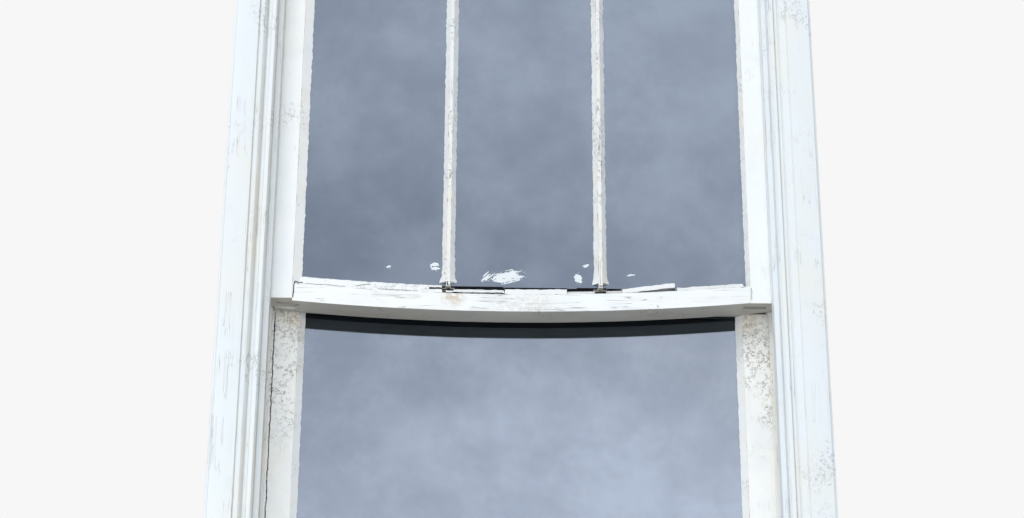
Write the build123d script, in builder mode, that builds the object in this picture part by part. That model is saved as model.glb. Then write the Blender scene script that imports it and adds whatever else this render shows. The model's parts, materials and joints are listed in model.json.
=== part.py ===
from build123d import *
from math import asin, degrees, hypot, pi, radians, sqrt, tan
import os

# Double-hung sash window in its box frame. Millimetres.
# X runs to the right seen from outside, Y into the building, Z up.
# The origin is on the sill's underside, in the middle, in the plane of the outside casing's front face.

# Opening and sashes
opening_width = 889.0       # between the pulley stiles
opening_height = 1575.0     # sill to head, measured at the outer face of the lower sash
sash_thickness = 44.0
sash_side_gap = 2.0
upper_stile_face = 46.0     # stile width in front of the glazing rabbet
lower_stile_face = 54.0
rail_face = 50.5            # top rail, in front of the rabbet
bottom_rail_face = 78.0
check_face = 32.0           # check rail, in front of the rabbet
rabbet_width = 10.5
rabbet_depth = 14.0
bevel_width = 8.0           # inside edge of the sash members
bevel_depth = 12.0
muntin_width = 22.0
muntin_shift = 4.5          # both muntins stand this far right of the middle
muntin_tongue = 7.0
tenon_thickness = 14.0
tenon_length = 40.0
glass_thickness = 3.0
glass_clearance = 1.5
glass_groove = 3.5          # groove of the check rails, across
glass_groove_depth = 12.0

# Sag of the upper check rail
sag_left = 5.0              # drop of the left shoulder
sag_middle = 18.0           # bow below the line from shoulder to shoulder
muntin_rise = 25.5          # muntin ends, above the bottom of the upper stiles
pane_rise = 27.0            # lower edge of the upper panes, above the same level
strip_length = 92.0         # strip of putty that has lifted off the rail
strip_width = 8.0
strip_offset = 38.5         # its fixed end, from the middle of the muntin beside it
strip_tilt = 0.14
run_rise = 8.0              # putty heaped up under the left pane
putty_shift = 4.5           # hand-laid putty: wide on the left stile, narrow on the right one

# Check between the sashes
check_gap = 1.0
check_slant = 9.0

# Frame
bead_thickness = 13.0
bead_projection = 10.5
bead_groove = 10.0
runway_gap = 2.0            # runway wider than the sash
casing_thickness = 22.0
casing_projection = 12.5    # past the pulley stile
jamb_thickness = 22.0
lining_thickness = 19.0
back_lining_thickness = 8.0
casing_above_head = 73.5
stop_projection = 13.0
stop_width = 38.0
mould_thickness = 32.0
mould_moulding = 32.0       # moulded part of the brickmould, at its inner edge
casing_reveal = 9.0         # casing that shows inside the brickmould
sill_nose = -70.0
sill_nose_height = 32.0
sill_slope = 8.0            # degrees
stool_thickness = 22.0
stool_edge = 210.0

# Pulleys, chains and weights
wheel_radius = 25.5
chain_radius = 23.5         # chain's middle line on the wheel
wheel_thickness = 12.0
wheel_groove = 9.2
chain_width = 8.5
chain_thickness = 3.0
chain_clearance = 0.3
pin_radius = 4.0
pin_clearance = 0.05
pulley_drop = 95.0          # wheel centre below the head
chain_inset = 2.5           # chain's middle line inside the sash's edge
chain_fixing = 380.0        # below the top of the sash
edge_groove_depth = 15.0
edge_groove_width = 16.0
case_half_height = 60.0
case_plate = 2.5
weight_radius = 19.0
weight_clearance = 4.0      # weight to the back lining
iron_density = 7.2e-6       # kg per cubic millimetre
wood_density = 0.6e-6
glass_density = 2.5e-6
putty_density = 1.1e-6
pocket_length = 560.0
pocket_width = 40.0
pocket_clearance = 0.5

# Sash lifts
lift_rise = 38.0            # above the foot of the lower sash
lift_share = 0.53           # place across the rail
lift_width = 44.0
lift_height = 34.0
lift_reach = 25.0
lift_plate = 3.0
lift_metal = 4.0
lift_drop = 6.0
lift_lip = 20.0

# Levels and positions that follow
jamb_face = opening_width / 2
sash_half = jamb_face - sash_side_gap
shoulder = sash_half - upper_stile_face
inner_edge = shoulder - rabbet_width
lower_shoulder = sash_half - lower_stile_face
lower_edge = lower_shoulder - rabbet_width
outer_front = casing_thickness + runway_gap / 2
outer_back = outer_front + sash_thickness
bead_front = casing_thickness + sash_thickness + runway_gap
bead_back = bead_front + bead_thickness
inner_front = bead_back + runway_gap / 2
inner_back = inner_front + sash_thickness
stop_front = bead_back + sash_thickness + runway_gap
box_back = stop_front + jamb_thickness
frame_back = box_back + lining_thickness
check_height = check_face + rabbet_width - 0.5


def slope_at(y):
    return sill_nose_height + (min(y, stop_front) - sill_nose) * tan(radians(sill_slope))


lower_bottom = slope_at(inner_front)
head = lower_bottom + opening_height
sash_height = (opening_height + check_height) / 2
meet = head - sash_height   # bottom of the check rails, before the sag
lower_top = meet + check_height
frame_top = head + casing_above_head
wheel_z = head - pulley_drop
wheel_x = sash_half - chain_inset + chain_radius
weight_x = wheel_x + chain_radius
frame_half_width = weight_x + weight_radius + weight_clearance + back_lining_thickness
casing_edge = jamb_face - casing_projection
mould_width = frame_half_width - casing_edge - casing_reveal
sides = {"left": -1, "right": 1}

os.makedirs("parts", exist_ok=True)


def save(piece, name):
    piece.part.label = name
    export_step(piece.part, f"parts/{name}.step")


def block(xs, ys, zs, mode=Mode.ADD):
    """A box between two values on each axis."""
    sizes = [abs(v[1] - v[0]) for v in (xs, ys, zs)]
    middle = [(v[0] + v[1]) / 2 for v in (xs, ys, zs)]
    with Locations(tuple(middle)):
        Box(*sizes, mode=mode)


def along_x(points, start, end, mode=Mode.ADD):
    """A section of (y, z) points, run along X."""
    with BuildSketch(Plane.YZ.offset(start)) as section:
        with BuildLine():
            Polyline(*points, close=True)
        make_face()
    extrude(section.sketch, amount=end - start, mode=mode)


def along_z(points, start, end, mode=Mode.ADD):
    """A section of (x, y) points, run along Z."""
    with BuildSketch(Plane.XY.offset(start)) as section:
        with BuildLine():
            Polyline(*points, close=True)
        make_face()
    extrude(section.sketch, amount=end - start, mode=mode)


def rod_y(x, z, radius, y_start, y_end, mode=Mode.ADD):
    """A cylinder along Y."""
    with Locations((x, (y_start + y_end) / 2, z)):
        Cylinder(radius, y_end - y_start, rotation=(90, 0, 0), mode=mode)


# Sill
with BuildPart() as sill:
    back_height = slope_at(stop_front)
    along_x(
        [
            (sill_nose, 0),
            (frame_back, 0),
            (frame_back, back_height),
            (stop_front, back_height),
            (sill_nose, sill_nose_height),
        ],
        -frame_half_width,
        frame_half_width,
    )
    fillet(sill.edges().filter_by(Axis.X).group_by(Axis.Y)[0], 4)
    block((-frame_half_width - 1, frame_half_width + 1), (-60, -54), (-1, 5), Mode.SUBTRACT)
save(sill, "sill")

# Head jamb, grooved for the parting bead
with BuildPart() as head_jamb:
    block(
        (-frame_half_width, frame_half_width),
        (casing_thickness, frame_back),
        (head, head + jamb_thickness),
    )
    block(
        (-jamb_face, jamb_face),
        (bead_front, bead_back),
        (head, head + bead_groove),
        Mode.SUBTRACT,
    )
save(head_jamb, "head_jamb")


# Pulley stiles: grooved, mortised for the pulleys and cut for the pocket
runways = {"upper": (outer_front + outer_back) / 2, "lower": (inner_front + inner_back) / 2}
pocket_y = runways["lower"]
pocket_bottom = back_height + 60
pocket_bevel = 12.0


def pocket_outline(gap):
    """Section of the pocket along the stile: its two ends are undercut. Points are (distance, z)."""
    low = pocket_bottom + gap
    high = pocket_bottom + pocket_length - gap
    return [
        (0, low),
        (jamb_thickness, low - pocket_bevel),
        (jamb_thickness, high - pocket_bevel),
        (0, high),
    ]


def pocket_prism(side, gap, width, mode=Mode.ADD):
    y_start = pocket_y - width / 2
    with BuildSketch(Plane.XZ.offset(-y_start)) as section:
        with BuildLine():
            Polyline(*[(side * (jamb_face + d), z) for d, z in pocket_outline(gap)], close=True)
        make_face()
    extrude(section.sketch, amount=-width, mode=mode)


for name, side in sides.items():
    with BuildPart() as pulley_stile:
        block(
            (side * jamb_face, side * (jamb_face + jamb_thickness)),
            (casing_thickness, box_back),
            (10, head),
        )
        add(sill.part, mode=Mode.SUBTRACT)
        block(
            (side * jamb_face, side * (jamb_face + bead_groove)),
            (bead_front, bead_back),
            (10, head),
            Mode.SUBTRACT,
        )
        for y in runways.values():
            block(
                (side * jamb_face, side * (jamb_face + jamb_thickness)),
                (y - 10, y + 10),
                (wheel_z - 33, wheel_z + 33),
                Mode.SUBTRACT,
            )
            block(
                (side * jamb_face, side * (jamb_face + case_plate)),
                (y - 14, y + 14),
                (wheel_z - case_half_height, wheel_z + case_half_height),
                Mode.SUBTRACT,
            )
        pocket_prism(side, 0, pocket_width, Mode.SUBTRACT)
    save(pulley_stile, f"pulley_stile_{name}")

    with BuildPart() as pocket_cover:
        pocket_prism(side, 0, pocket_width - 2 * pocket_clearance)
        for z in (pocket_bottom + 30, pocket_bottom + pocket_length - 45):
            with Locations((side * (jamb_face + 1.5), pocket_y, z)):
                Cylinder(4.5, 3, rotation=(0, 90, 0), mode=Mode.SUBTRACT)
    save(pocket_cover, f"pocket_cover_{name}")


# Weight boxes: back and inside linings
for name, side in sides.items():
    with BuildPart() as back_lining:
        block(
            (side * (frame_half_width - back_lining_thickness), side * frame_half_width),
            (casing_thickness, box_back),
            (10, head),
        )
        add(sill.part, mode=Mode.SUBTRACT)
    save(back_lining, f"back_lining_{name}")

    with BuildPart() as inside_lining:
        block(
            (side * jamb_face, side * frame_half_width),
            (box_back, frame_back),
            (back_height, head),
        )
    save(inside_lining, f"inside_lining_{name}")


# Outside casing: its inner edge is the outer stop of the upper sash
for name, side in sides.items():
    with BuildPart() as outside_casing:
        block(
            (side * casing_edge, side * frame_half_width),
            (0, casing_thickness),
            (10, head - casing_projection),
        )
        add(sill.part, mode=Mode.SUBTRACT)
    save(outside_casing, f"outside_casing_{name}")

with BuildPart() as outside_casing_head:
    block(
        (-frame_half_width, frame_half_width),
        (0, casing_thickness),
        (head - casing_projection, frame_top),
    )
save(outside_casing_head, "outside_casing_head")


# Brickmould: flat, quirk, cove and a square inner face, mitred at the head
def mould_outline():
    """Section from the outer edge inwards, as (distance, depth) pairs in a closed wire."""
    front = -mould_thickness
    flat = mould_width - mould_moulding
    with BuildLine() as outline:
        Line((0, 0), (0, front + 5))
        RadiusArc((0, front + 5), (5, front), 5)
        Line((5, front), (flat, front))
        Line((flat, front), (flat + 1.5, front + 4))
        Line((flat + 1.5, front + 4), (flat + 5, front + 4))
        RadiusArc((flat + 5, front + 4), (flat + 15, front + 12), -10)
        Line((flat + 15, front + 12), (flat + 15, front + 14))
        Line((flat + 15, front + 14), (flat + 18, front + 14))
        RadiusArc((flat + 18, front + 14), (flat + 22, front + 10), 4)
        Line((flat + 22, front + 10), (mould_width - 3, front + 10))
        Line((mould_width - 3, front + 10), (mould_width, front + 13))
        Line((mould_width, front + 13), (mould_width, 0))
        Line((mould_width, 0), (0, 0))
    make_face(outline.edges())


def mitre(side):
    """Plane of the head mitre; its upper side faces the head."""
    return Plane(
        origin=(side * frame_half_width, 0, frame_top),
        x_dir=(0, 1, 0),
        z_dir=(-side, 0, 1),
    )


for name, side in sides.items():
    with BuildPart() as brickmould:
        leg_plane = Plane(
            origin=(side * frame_half_width, 0, 10),
            x_dir=(-side, 0, 0),
            z_dir=(0, 0, -side),
        )
        with BuildSketch(leg_plane):
            mould_outline()
        extrude(amount=-side * (frame_top - 10))
        split(bisect_by=mitre(side), keep=Keep.BOTTOM)
        add(sill.part, mode=Mode.SUBTRACT)
    save(brickmould, f"brickmould_{name}")

with BuildPart() as brickmould_head:
    head_plane = Plane(
        origin=(-frame_half_width, 0, frame_top),
        x_dir=(0, 0, -1),
        z_dir=(1, 0, 0),
    )
    with BuildSketch(head_plane):
        mould_outline()
    extrude(amount=2 * frame_half_width)
    for side in sides.values():
        split(bisect_by=mitre(side), keep=Keep.TOP)
save(brickmould_head, "brickmould_head")


# Parting beads, let into the jambs
bead_edge = jamb_face - bead_projection
for name, side in sides.items():
    with BuildPart() as parting_bead:
        block(
            (side * bead_edge, side * (jamb_face + bead_groove)),
            (bead_front, bead_back),
            (10, head),
        )
        chamfer(
            parting_bead.edges().filter_by(Axis.Z).sort_by(lambda e: abs(e.center().X))[:2], 1.5
        )
        add(sill.part, mode=Mode.SUBTRACT)
    save(parting_bead, f"parting_bead_{name}")

with BuildPart() as parting_bead_head:
    block(
        (-jamb_face, jamb_face),
        (bead_front, bead_back),
        (head, head + bead_groove),
    )
    block(
        (-bead_edge, bead_edge),
        (bead_front, bead_back),
        (head - bead_projection, head),
    )
save(parting_bead_head, "parting_bead_head")


# Stool and inside stop beads
stool_top = back_height + stool_thickness
with BuildPart() as stool:
    block(
        (-jamb_face, jamb_face),
        (inner_back + 2, frame_back),
        (back_height, stool_top),
    )
    block(
        (-frame_half_width, frame_half_width),
        (frame_back, stool_edge),
        (back_height, stool_top),
    )
    fillet(stool.edges().filter_by(Axis.X).group_by(Axis.Y)[-1], 8)
save(stool, "stool")

stop_edge = jamb_face - stop_projection
for name, side in sides.items():
    with BuildPart() as stop_bead:
        block(
            (side * stop_edge, side * jamb_face),
            (stop_front, stop_front + stop_width),
            (stool_top, head),
        )
        front_edges = stop_bead.edges().filter_by(Axis.Z).group_by(Axis.Y)[0]
        fillet(front_edges.sort_by(lambda e: abs(e.center().X))[0], 6)
    save(stop_bead, f"stop_bead_{name}")

with BuildPart() as stop_bead_head:
    block(
        (-stop_edge, stop_edge),
        (stop_front, stop_front + stop_width),
        (head - stop_projection, head),
    )
save(stop_bead_head, "stop_bead_head")


# Sash stiles
def stile_outline(side, front, face):
    """Stile section: rabbet outside, bevel inside. Points are (x, y)."""
    distances = [
        (0, 0),
        (face, 0),
        (face, rabbet_depth),
        (face + rabbet_width, rabbet_depth),
        (face + rabbet_width, sash_thickness - bevel_depth),
        (face + rabbet_width - bevel_width, sash_thickness),
        (0, sash_thickness),
    ]
    return [(side * (sash_half - d), front + y) for d, y in distances]


def make_stile(side, front, face, low, high, mortises, seat=None):
    """A stile with its tenon mortises and, in its outer edge, the groove for the chain."""
    tenon_front = front + rabbet_depth + 4
    edge = sash_half - face - rabbet_width
    with BuildPart() as stile:
        along_z(stile_outline(side, front, face), low, high)
        for z_low, z_high in mortises:
            block(
                (side * (edge - 20), side * (edge + tenon_length)),
                (tenon_front, tenon_front + tenon_thickness),
                (z_low, z_high),
                Mode.SUBTRACT,
            )
        middle = front + sash_thickness / 2
        block(
            (side * (sash_half - edge_groove_depth), side * sash_half),
            (middle - edge_groove_width / 2, middle + edge_groove_width / 2),
            (high - chain_fixing - 20, high),
            Mode.SUBTRACT,
        )
        if seat:
            add(seat, mode=Mode.SUBTRACT)
    return stile


top_tenon = (head - rail_face + 2, head - 12)
upper_stiles = {}
for name, side in sides.items():
    upper_stiles[name] = make_stile(
        side,
        outer_front,
        upper_stile_face,
        meet,
        head,
        [top_tenon, (meet - 1, meet + check_height)],
    )
    save(upper_stiles[name], f"upper_sash_stile_{name}")

check_tenon = (meet + 6, meet + check_face - 2)
foot_tenon = (lower_bottom + 16, lower_bottom + bottom_rail_face - 4)
lower_stiles = {}
for name, side in sides.items():
    lower_stiles[name] = make_stile(
        side,
        inner_front,
        lower_stile_face,
        10,
        lower_top,
        [check_tenon, foot_tenon],
        sill.part,
    )
    save(lower_stiles[name], f"lower_sash_stile_{name}")


# Upper sash: top rail, coped to the stiles and tenoned into them
def rail_tenon(front, edge, z_range):
    """The two tenons of a rail, as one bar through it."""
    start = front + rabbet_depth + 4
    block(
        (-edge - tenon_length, edge + tenon_length),
        (start, start + tenon_thickness),
        z_range,
    )


stub_half = 5.0
stub_front = outer_front + rabbet_depth + 8
stub_depth = 12.0
sight = head - rail_face - rabbet_width
pane_gap = (2 * inner_edge - 2 * muntin_width) / 3
muntin_x = pane_gap / 2 + muntin_width / 2
muntin_places = {name: side * muntin_x + muntin_shift for name, side in sides.items()}
with BuildPart() as upper_top_rail:
    along_x(
        [
            (outer_front, head),
            (outer_front, head - rail_face),
            (outer_front + rabbet_depth, head - rail_face),
            (outer_front + rabbet_depth, sight),
            (outer_back - bevel_depth, sight),
            (outer_back, sight + bevel_width),
            (outer_back, head),
        ],
        -shoulder,
        shoulder,
    )
    for stile in upper_stiles.values():
        add(stile.part, mode=Mode.SUBTRACT)
    rail_tenon(outer_front, inner_edge, top_tenon)
    for x in muntin_places.values():
        block(
            (x - stub_half, x + stub_half),
            (stub_front, stub_front + 10),
            (sight, sight + stub_depth),
            Mode.SUBTRACT,
        )
save(upper_top_rail, "upper_sash_top_rail")

# Upper sash: check rail, bent along the arc of its sag and cut back to the stile shoulders
chord_slope = asin(sag_left / hypot(2 * shoulder, sag_left))
half_chord = hypot(2 * shoulder, sag_left) / 2
sag_radius = (half_chord**2 + sag_middle**2) / (2 * sag_middle)
arc_x = -(sag_radius - sag_middle) * chord_slope
arc_z = meet - sag_left / 2 + sag_radius - sag_middle
lip_end = bead_edge - 3
sweep_angle = degrees(asin((lip_end + abs(arc_x) + 4) / sag_radius))
lip_back = inner_front - 2 - check_gap
upper_check_outline = [
    (outer_front, 0),
    (lip_back, 0),
    (lip_back - check_slant, check_height),
    (outer_front + rabbet_depth, check_height),
    (outer_front + rabbet_depth, check_face - glass_groove_depth),
    (outer_front + rabbet_depth - glass_groove, check_face - glass_groove_depth),
    (outer_front + rabbet_depth - glass_groove, check_face),
    (outer_front, check_face),
]


def bent(points, mode=Mode.ADD):
    """A section of (y, height) points, swept both ways along the arc of the sag."""
    low = arc_z - sag_radius
    centre = Axis((arc_x, 0, arc_z), (0, 1, 0))
    with BuildSketch(Plane.YZ.offset(arc_x)) as section:
        with BuildLine():
            Polyline(*[(y, low + z) for y, z in points], close=True)
        make_face()
    for way in (1, -1):
        revolve(section.sketch, axis=centre, revolution_arc=way * sweep_angle, mode=mode)


tenon_front = outer_front + rabbet_depth + 4
with BuildPart() as check_tenons:
    bent(
        [
            (tenon_front, 6),
            (tenon_front + tenon_thickness, 6),
            (tenon_front + tenon_thickness, check_face),
            (tenon_front, check_face),
        ]
    )
    block(
        (-inner_edge - tenon_length, inner_edge + tenon_length),
        (0, 100),
        (meet - 60, meet + 100),
        Mode.INTERSECT,
    )

with BuildPart() as upper_check_rail:
    bent(upper_check_outline)
    block((-lip_end, lip_end), (0, 100), (meet - 60, meet + 100), Mode.INTERSECT)
    for side in sides.values():
        along_z(stile_outline(side, outer_front, upper_stile_face), meet - 60, meet + 100, Mode.SUBTRACT)
        block(
            (side * shoulder, side * (lip_end + 1)),
            (outer_front - 1, outer_front + rabbet_depth + 1),
            (meet - 60, meet + 100),
            Mode.SUBTRACT,
        )
    add(check_tenons.part)
    for x in muntin_places.values():
        block(
            (x - stub_half - 0.5, x + stub_half + 0.5),
            (stub_front - 0.5, stub_front + 10.5),
            (meet + muntin_rise - stub_depth - 2, meet + check_height),
            Mode.SUBTRACT,
        )
    keeper_floor = arc_z - sag_radius + check_height - 1.5
    block(
        (-30, 30),
        (outer_back - 18, outer_back + 1),
        (keeper_floor, keeper_floor + 20),
        Mode.SUBTRACT,
    )
save(upper_check_rail, "upper_sash_check_rail")

# Muntins: snug in the top rail, just clear of the sagged rail below
muntin_low = meet + muntin_rise
for name, x in muntin_places.items():
    half = muntin_width / 2
    tongue = muntin_tongue / 2
    with BuildPart() as muntin:
        along_z(
            [
                (x - tongue, outer_front),
                (x + tongue, outer_front),
                (x + tongue, outer_front + rabbet_depth),
                (x + half, outer_front + rabbet_depth),
                (x + half, outer_back - bevel_depth),
                (x + half - bevel_width, outer_back),
                (x - half + bevel_width, outer_back),
                (x - half, outer_back - bevel_depth),
                (x - half, outer_front + rabbet_depth),
                (x - tongue, outer_front + rabbet_depth),
            ],
            muntin_low,
            head - rail_face,
        )
        add(upper_top_rail.part, mode=Mode.SUBTRACT)
        for low, high in ((muntin_low - stub_depth, muntin_low), (sight - 1, sight + stub_depth)):
            block(
                (x - stub_half, x + stub_half),
                (stub_front, stub_front + 10),
                (low, high),
            )
    save(muntin, f"upper_sash_muntin_{name}")

# Upper panes: straight, so the sagged rail has left their lower edges
pane_back = outer_front + rabbet_depth
pane_front = pane_back - glass_thickness
pane_low = meet + pane_rise
pane_high = head - rail_face - glass_clearance
tongue = muntin_tongue / 2
pane_bounds = {
    "left": (-shoulder, muntin_places["left"] - tongue),
    "middle": (muntin_places["left"] + tongue, muntin_places["right"] - tongue),
    "right": (muntin_places["right"] + tongue, shoulder),
}
upper_glass_volume = 0
for name, (x_low, x_high) in pane_bounds.items():
    with BuildPart() as upper_pane:
        block(
            (x_low + glass_clearance, x_high - glass_clearance),
            (pane_front, pane_back),
            (pane_low, pane_high),
        )
    upper_glass_volume += upper_pane.part.volume
    save(upper_pane, f"upper_pane_{name}")


# Putty: a slope from the glass to the face of the wood
def putty_wedge(bounds, sights, depths):
    """Cut the sloped opening out of a putty block: sight size at the glass, full size at the face."""
    openings = []
    for y, (x_low, x_high, z_low, z_high) in zip(depths, (sights, bounds)):
        with BuildSketch(Plane.XZ.offset(-y)) as opening:
            with Locations(((x_low + x_high) / 2, (z_low + z_high) / 2)):
                Rectangle(x_high - x_low, z_high - z_low)
        openings.append(opening.sketch)
    loft(openings, mode=Mode.SUBTRACT)


face_back = 0.6             # putty edge behind the face of the wood
putty_low = meet + check_face + 3
half_muntin = muntin_width / 2
pane_putties = []
for name, (x_low, x_high) in pane_bounds.items():
    left_sight = putty_shift - inner_edge if name == "left" else x_low - tongue + half_muntin
    right_sight = putty_shift + inner_edge if name == "right" else x_high + tongue - half_muntin
    with BuildPart() as pane_putty:
        block((x_low, x_high), (outer_front + face_back, pane_front), (meet + 5, head - rail_face))
        putty_wedge(
            (x_low + 0.4, x_high - 0.4, meet - 40, head - rail_face - 0.4),
            (left_sight, right_sight, meet - 40, sight),
            (pane_front, outer_front + face_back),
        )
        block((-shoulder + 30, shoulder - 30), (0, 60), (meet - 1, putty_low), Mode.SUBTRACT)
        add(upper_check_rail.part, mode=Mode.SUBTRACT)
    pane_putties.append(pane_putty.part)
with BuildPart() as upper_putty:
    for piece in pane_putties:
        add(piece)
save(upper_putty, "upper_putty")

# Bottom putty of the upper panes: it went down with the rail, cracked, and one strip has lifted
def putty_outline(rise):
    """Section of the bottom putty, heaped up by some more at the glass."""
    return [
        (outer_front + face_back, check_face),
        (outer_front + rabbet_depth - glass_groove, check_face),
        (outer_front + rabbet_depth - glass_groove, check_height - 0.5 + rise),
    ]


strip_left = muntin_places["right"] + strip_offset
putty_runs = [
    (1 - inner_edge, muntin_places["left"] - half_muntin, run_rise),
    (muntin_places["left"] - 4, -31, 0),
    (-29, 78, 0),
    (strip_left + strip_length + 2, inner_edge - 1, 0),
]
run_pieces = []
for x_low, x_high, rise in putty_runs:
    with BuildPart() as putty_run:
        bent(putty_outline(rise))
        block((x_low, x_high), (0, 100), (meet - 60, meet + 100), Mode.INTERSECT)
        for piece in pane_putties:
            add(piece, mode=Mode.SUBTRACT)
    run_pieces.append(putty_run.part)
with BuildPart() as rail_putty:
    for piece in run_pieces:
        add(piece)
    strip_foot = arc_z - sqrt(sag_radius**2 - (strip_left - arc_x) ** 2) + check_face
    strip_plane = Plane(
        origin=(strip_left, outer_front + 9.5, strip_foot),
        x_dir=(1, 0, strip_tilt),
        z_dir=(0, -1, 0),
    )
    with BuildSketch(strip_plane):
        Rectangle(strip_length, strip_width, align=(Align.MIN, Align.MIN))
    extrude(amount=7)
save(rail_putty, "rail_putty")

# Lower sash: check rail with its lip over the upper one
lower_check_outline = [
    (inner_front - 2, meet),
    (inner_front + rabbet_depth - glass_groove, meet),
    (inner_front + rabbet_depth - glass_groove, meet + glass_groove_depth),
    (inner_front + rabbet_depth, meet + glass_groove_depth),
    (inner_front + rabbet_depth, meet),
    (inner_back - bevel_depth, meet),
    (inner_back, meet + bevel_width),
    (inner_back, lower_top),
    (inner_front - 2 - check_slant, lower_top),
]
with BuildPart() as lower_check_rail:
    along_x(lower_check_outline, -lip_end, lip_end)
    for side in sides.values():
        along_z(stile_outline(side, inner_front, lower_stile_face), meet - 10, lower_top + 10, Mode.SUBTRACT)
        block(
            (side * lower_shoulder, side * (lip_end + 1)),
            (inner_front, inner_front + rabbet_depth + 1),
            (meet - 10, lower_top + 10),
            Mode.SUBTRACT,
        )
    rail_tenon(inner_front, lower_edge, check_tenon)
save(lower_check_rail, "lower_sash_check_rail")

# Lower sash: bottom rail, cut to the slope of the sill
rail_top = lower_bottom + bottom_rail_face
with BuildPart() as bottom_rail:
    along_x(
        [
            (inner_front, 10),
            (inner_back, 10),
            (inner_back, rail_top + rabbet_width - bevel_width),
            (inner_back - bevel_depth, rail_top + rabbet_width),
            (inner_front + rabbet_depth, rail_top + rabbet_width),
            (inner_front + rabbet_depth, rail_top),
            (inner_front, rail_top),
        ],
        -lower_shoulder,
        lower_shoulder,
    )
    add(sill.part, mode=Mode.SUBTRACT)
    for side in sides.values():
        along_z(stile_outline(side, inner_front, lower_stile_face), 0, rail_top + 60, Mode.SUBTRACT)
    rail_tenon(inner_front, lower_edge, foot_tenon)
save(bottom_rail, "lower_sash_bottom_rail")

# Lower pane and its putty
lower_pane_back = inner_front + rabbet_depth
lower_pane_front = lower_pane_back - glass_thickness
with BuildPart() as lower_pane:
    block(
        (-lower_shoulder + glass_clearance, lower_shoulder - glass_clearance),
        (lower_pane_front, lower_pane_back),
        (rail_top + glass_clearance, meet + glass_groove_depth - glass_clearance),
    )
save(lower_pane, "lower_pane")

with BuildPart() as lower_putty:
    block(
        (-lower_shoulder, lower_shoulder),
        (inner_front + face_back, lower_pane_front),
        (rail_top, meet),
    )
    putty_wedge(
        (-lower_shoulder + 0.4, lower_shoulder - 0.4, rail_top + 0.4, meet + 40),
        (-lower_edge, lower_edge, rail_top + rabbet_width, meet + 40),
        (lower_pane_front, inner_front + face_back),
    )
save(lower_putty, "lower_putty")


# Meeting-rail lock: base and lever on the lower sash, keeper on the upper sash
lock_y = inner_front + 10
lock_base_top = lower_top + 4
with BuildPart() as lock_base:
    block((-28, 28), (lock_y - 12, lock_y + 12), (lower_top, lock_base_top))
    fillet(lock_base.edges().filter_by(Axis.Z), 4)
    for x in (-21, 21):
        with Locations((x, lock_y, lock_base_top)):
            Cylinder(3.5, 1.6, align=(Align.CENTER, Align.CENTER, Align.MIN))
    with Locations((0, lock_y, lock_base_top)):
        Cylinder(4, 13, align=(Align.CENTER, Align.CENTER, Align.MIN))
save(lock_base, "lock_base")

lever_low = lock_base_top + 2
with BuildPart() as lock_lever:
    with BuildSketch(Plane.XY.offset(lever_low)):
        with Locations((0, lock_y)):
            Circle(11)
        with Locations((0, lock_y + 15)):
            Rectangle(14, 30)
        with Locations((-26, lock_y)):
            Rectangle(52, 9)
        with Locations((-52, lock_y)):
            Circle(6.5)
    extrude(amount=6)
    with Locations((0, lock_y, lever_low + 3)):
        Cylinder(4 + pin_clearance, 10, mode=Mode.SUBTRACT)
save(lock_lever, "lock_lever")

with BuildPart() as lock_keeper:
    block((-28, 28), (outer_back - 17.5, outer_back - 1), (keeper_floor, keeper_floor + 3))
    block((-20, 20), (outer_back - 17.5, outer_back - 13), (keeper_floor, keeper_floor + 15))
    block((-20, 20), (outer_back - 17.5, outer_back - 5), (keeper_floor + 12, keeper_floor + 15))
save(lock_keeper, "lock_keeper")

# Sash lifts on the inner face of the bottom rail: a plate, a ledge and a lip turned down
lift_low = lower_bottom + lift_rise
with BuildPart() as sash_lifts:
    for x in (-lift_share * lower_edge, lift_share * lower_edge):
        plate = (inner_back, inner_back + lift_plate)
        reach = (inner_back, inner_back + lift_reach)
        lip = (inner_back + lift_reach - lift_metal, inner_back + lift_reach)
        ledge = lift_low + lift_height - lift_drop
        across = (x - lift_width / 2, x + lift_width / 2)
        hook = (x - lift_width / 2 + lift_metal, x + lift_width / 2 - lift_metal)
        block(across, plate, (lift_low, lift_low + lift_height))
        block(hook, reach, (ledge - lift_metal, ledge))
        block(hook, lip, (ledge - lift_lip, ledge))
save(sash_lifts, "sash_lifts")


# Weights, long enough that each pair balances its sash
def balance(piece_volumes):
    mass = sum(volume * density for volume, density in piece_volumes)
    return mass / 2 / (iron_density * pi * weight_radius**2)


upper_wood = sum(
    p.part.volume for p in (*upper_stiles.values(), upper_top_rail, upper_check_rail)
) + 2 * muntin.part.volume
lower_wood = sum(
    p.part.volume for p in (*lower_stiles.values(), lower_check_rail, bottom_rail)
)
weight_length = {
    "upper": balance(
        [
            (upper_wood, wood_density),
            (upper_glass_volume, glass_density),
            (upper_putty.part.volume + rail_putty.part.volume, putty_density),
        ]
    ),
    "lower": balance(
        [
            (lower_wood, wood_density),
            (lower_pane.part.volume, glass_density),
            (lower_putty.part.volume, putty_density),
        ]
    ),
}
weight_top = {
    "upper": back_height + 40 + weight_length["upper"],
    "lower": wheel_z - 70,
}
eye_height = 16.0
for sash, y in runways.items():
    for name, side in sides.items():
        top = weight_top[sash]
        with BuildPart() as sash_weight:
            with Locations((side * weight_x, y, top - weight_length[sash])):
                Cylinder(
                    weight_radius, weight_length[sash], align=(Align.CENTER, Align.CENTER, Align.MIN)
                )
            chamfer(sash_weight.edges().filter_by(GeomType.CIRCLE), 4)
            block(
                (side * weight_x - 7, side * weight_x + 7), (y - 7, y + 7), (top - 1, top + eye_height)
            )
            rod_y(side * weight_x, top + 8, 3.5, y - 8, y + 8, Mode.SUBTRACT)
        save(sash_weight, f"{sash}_weight_{name}")


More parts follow.
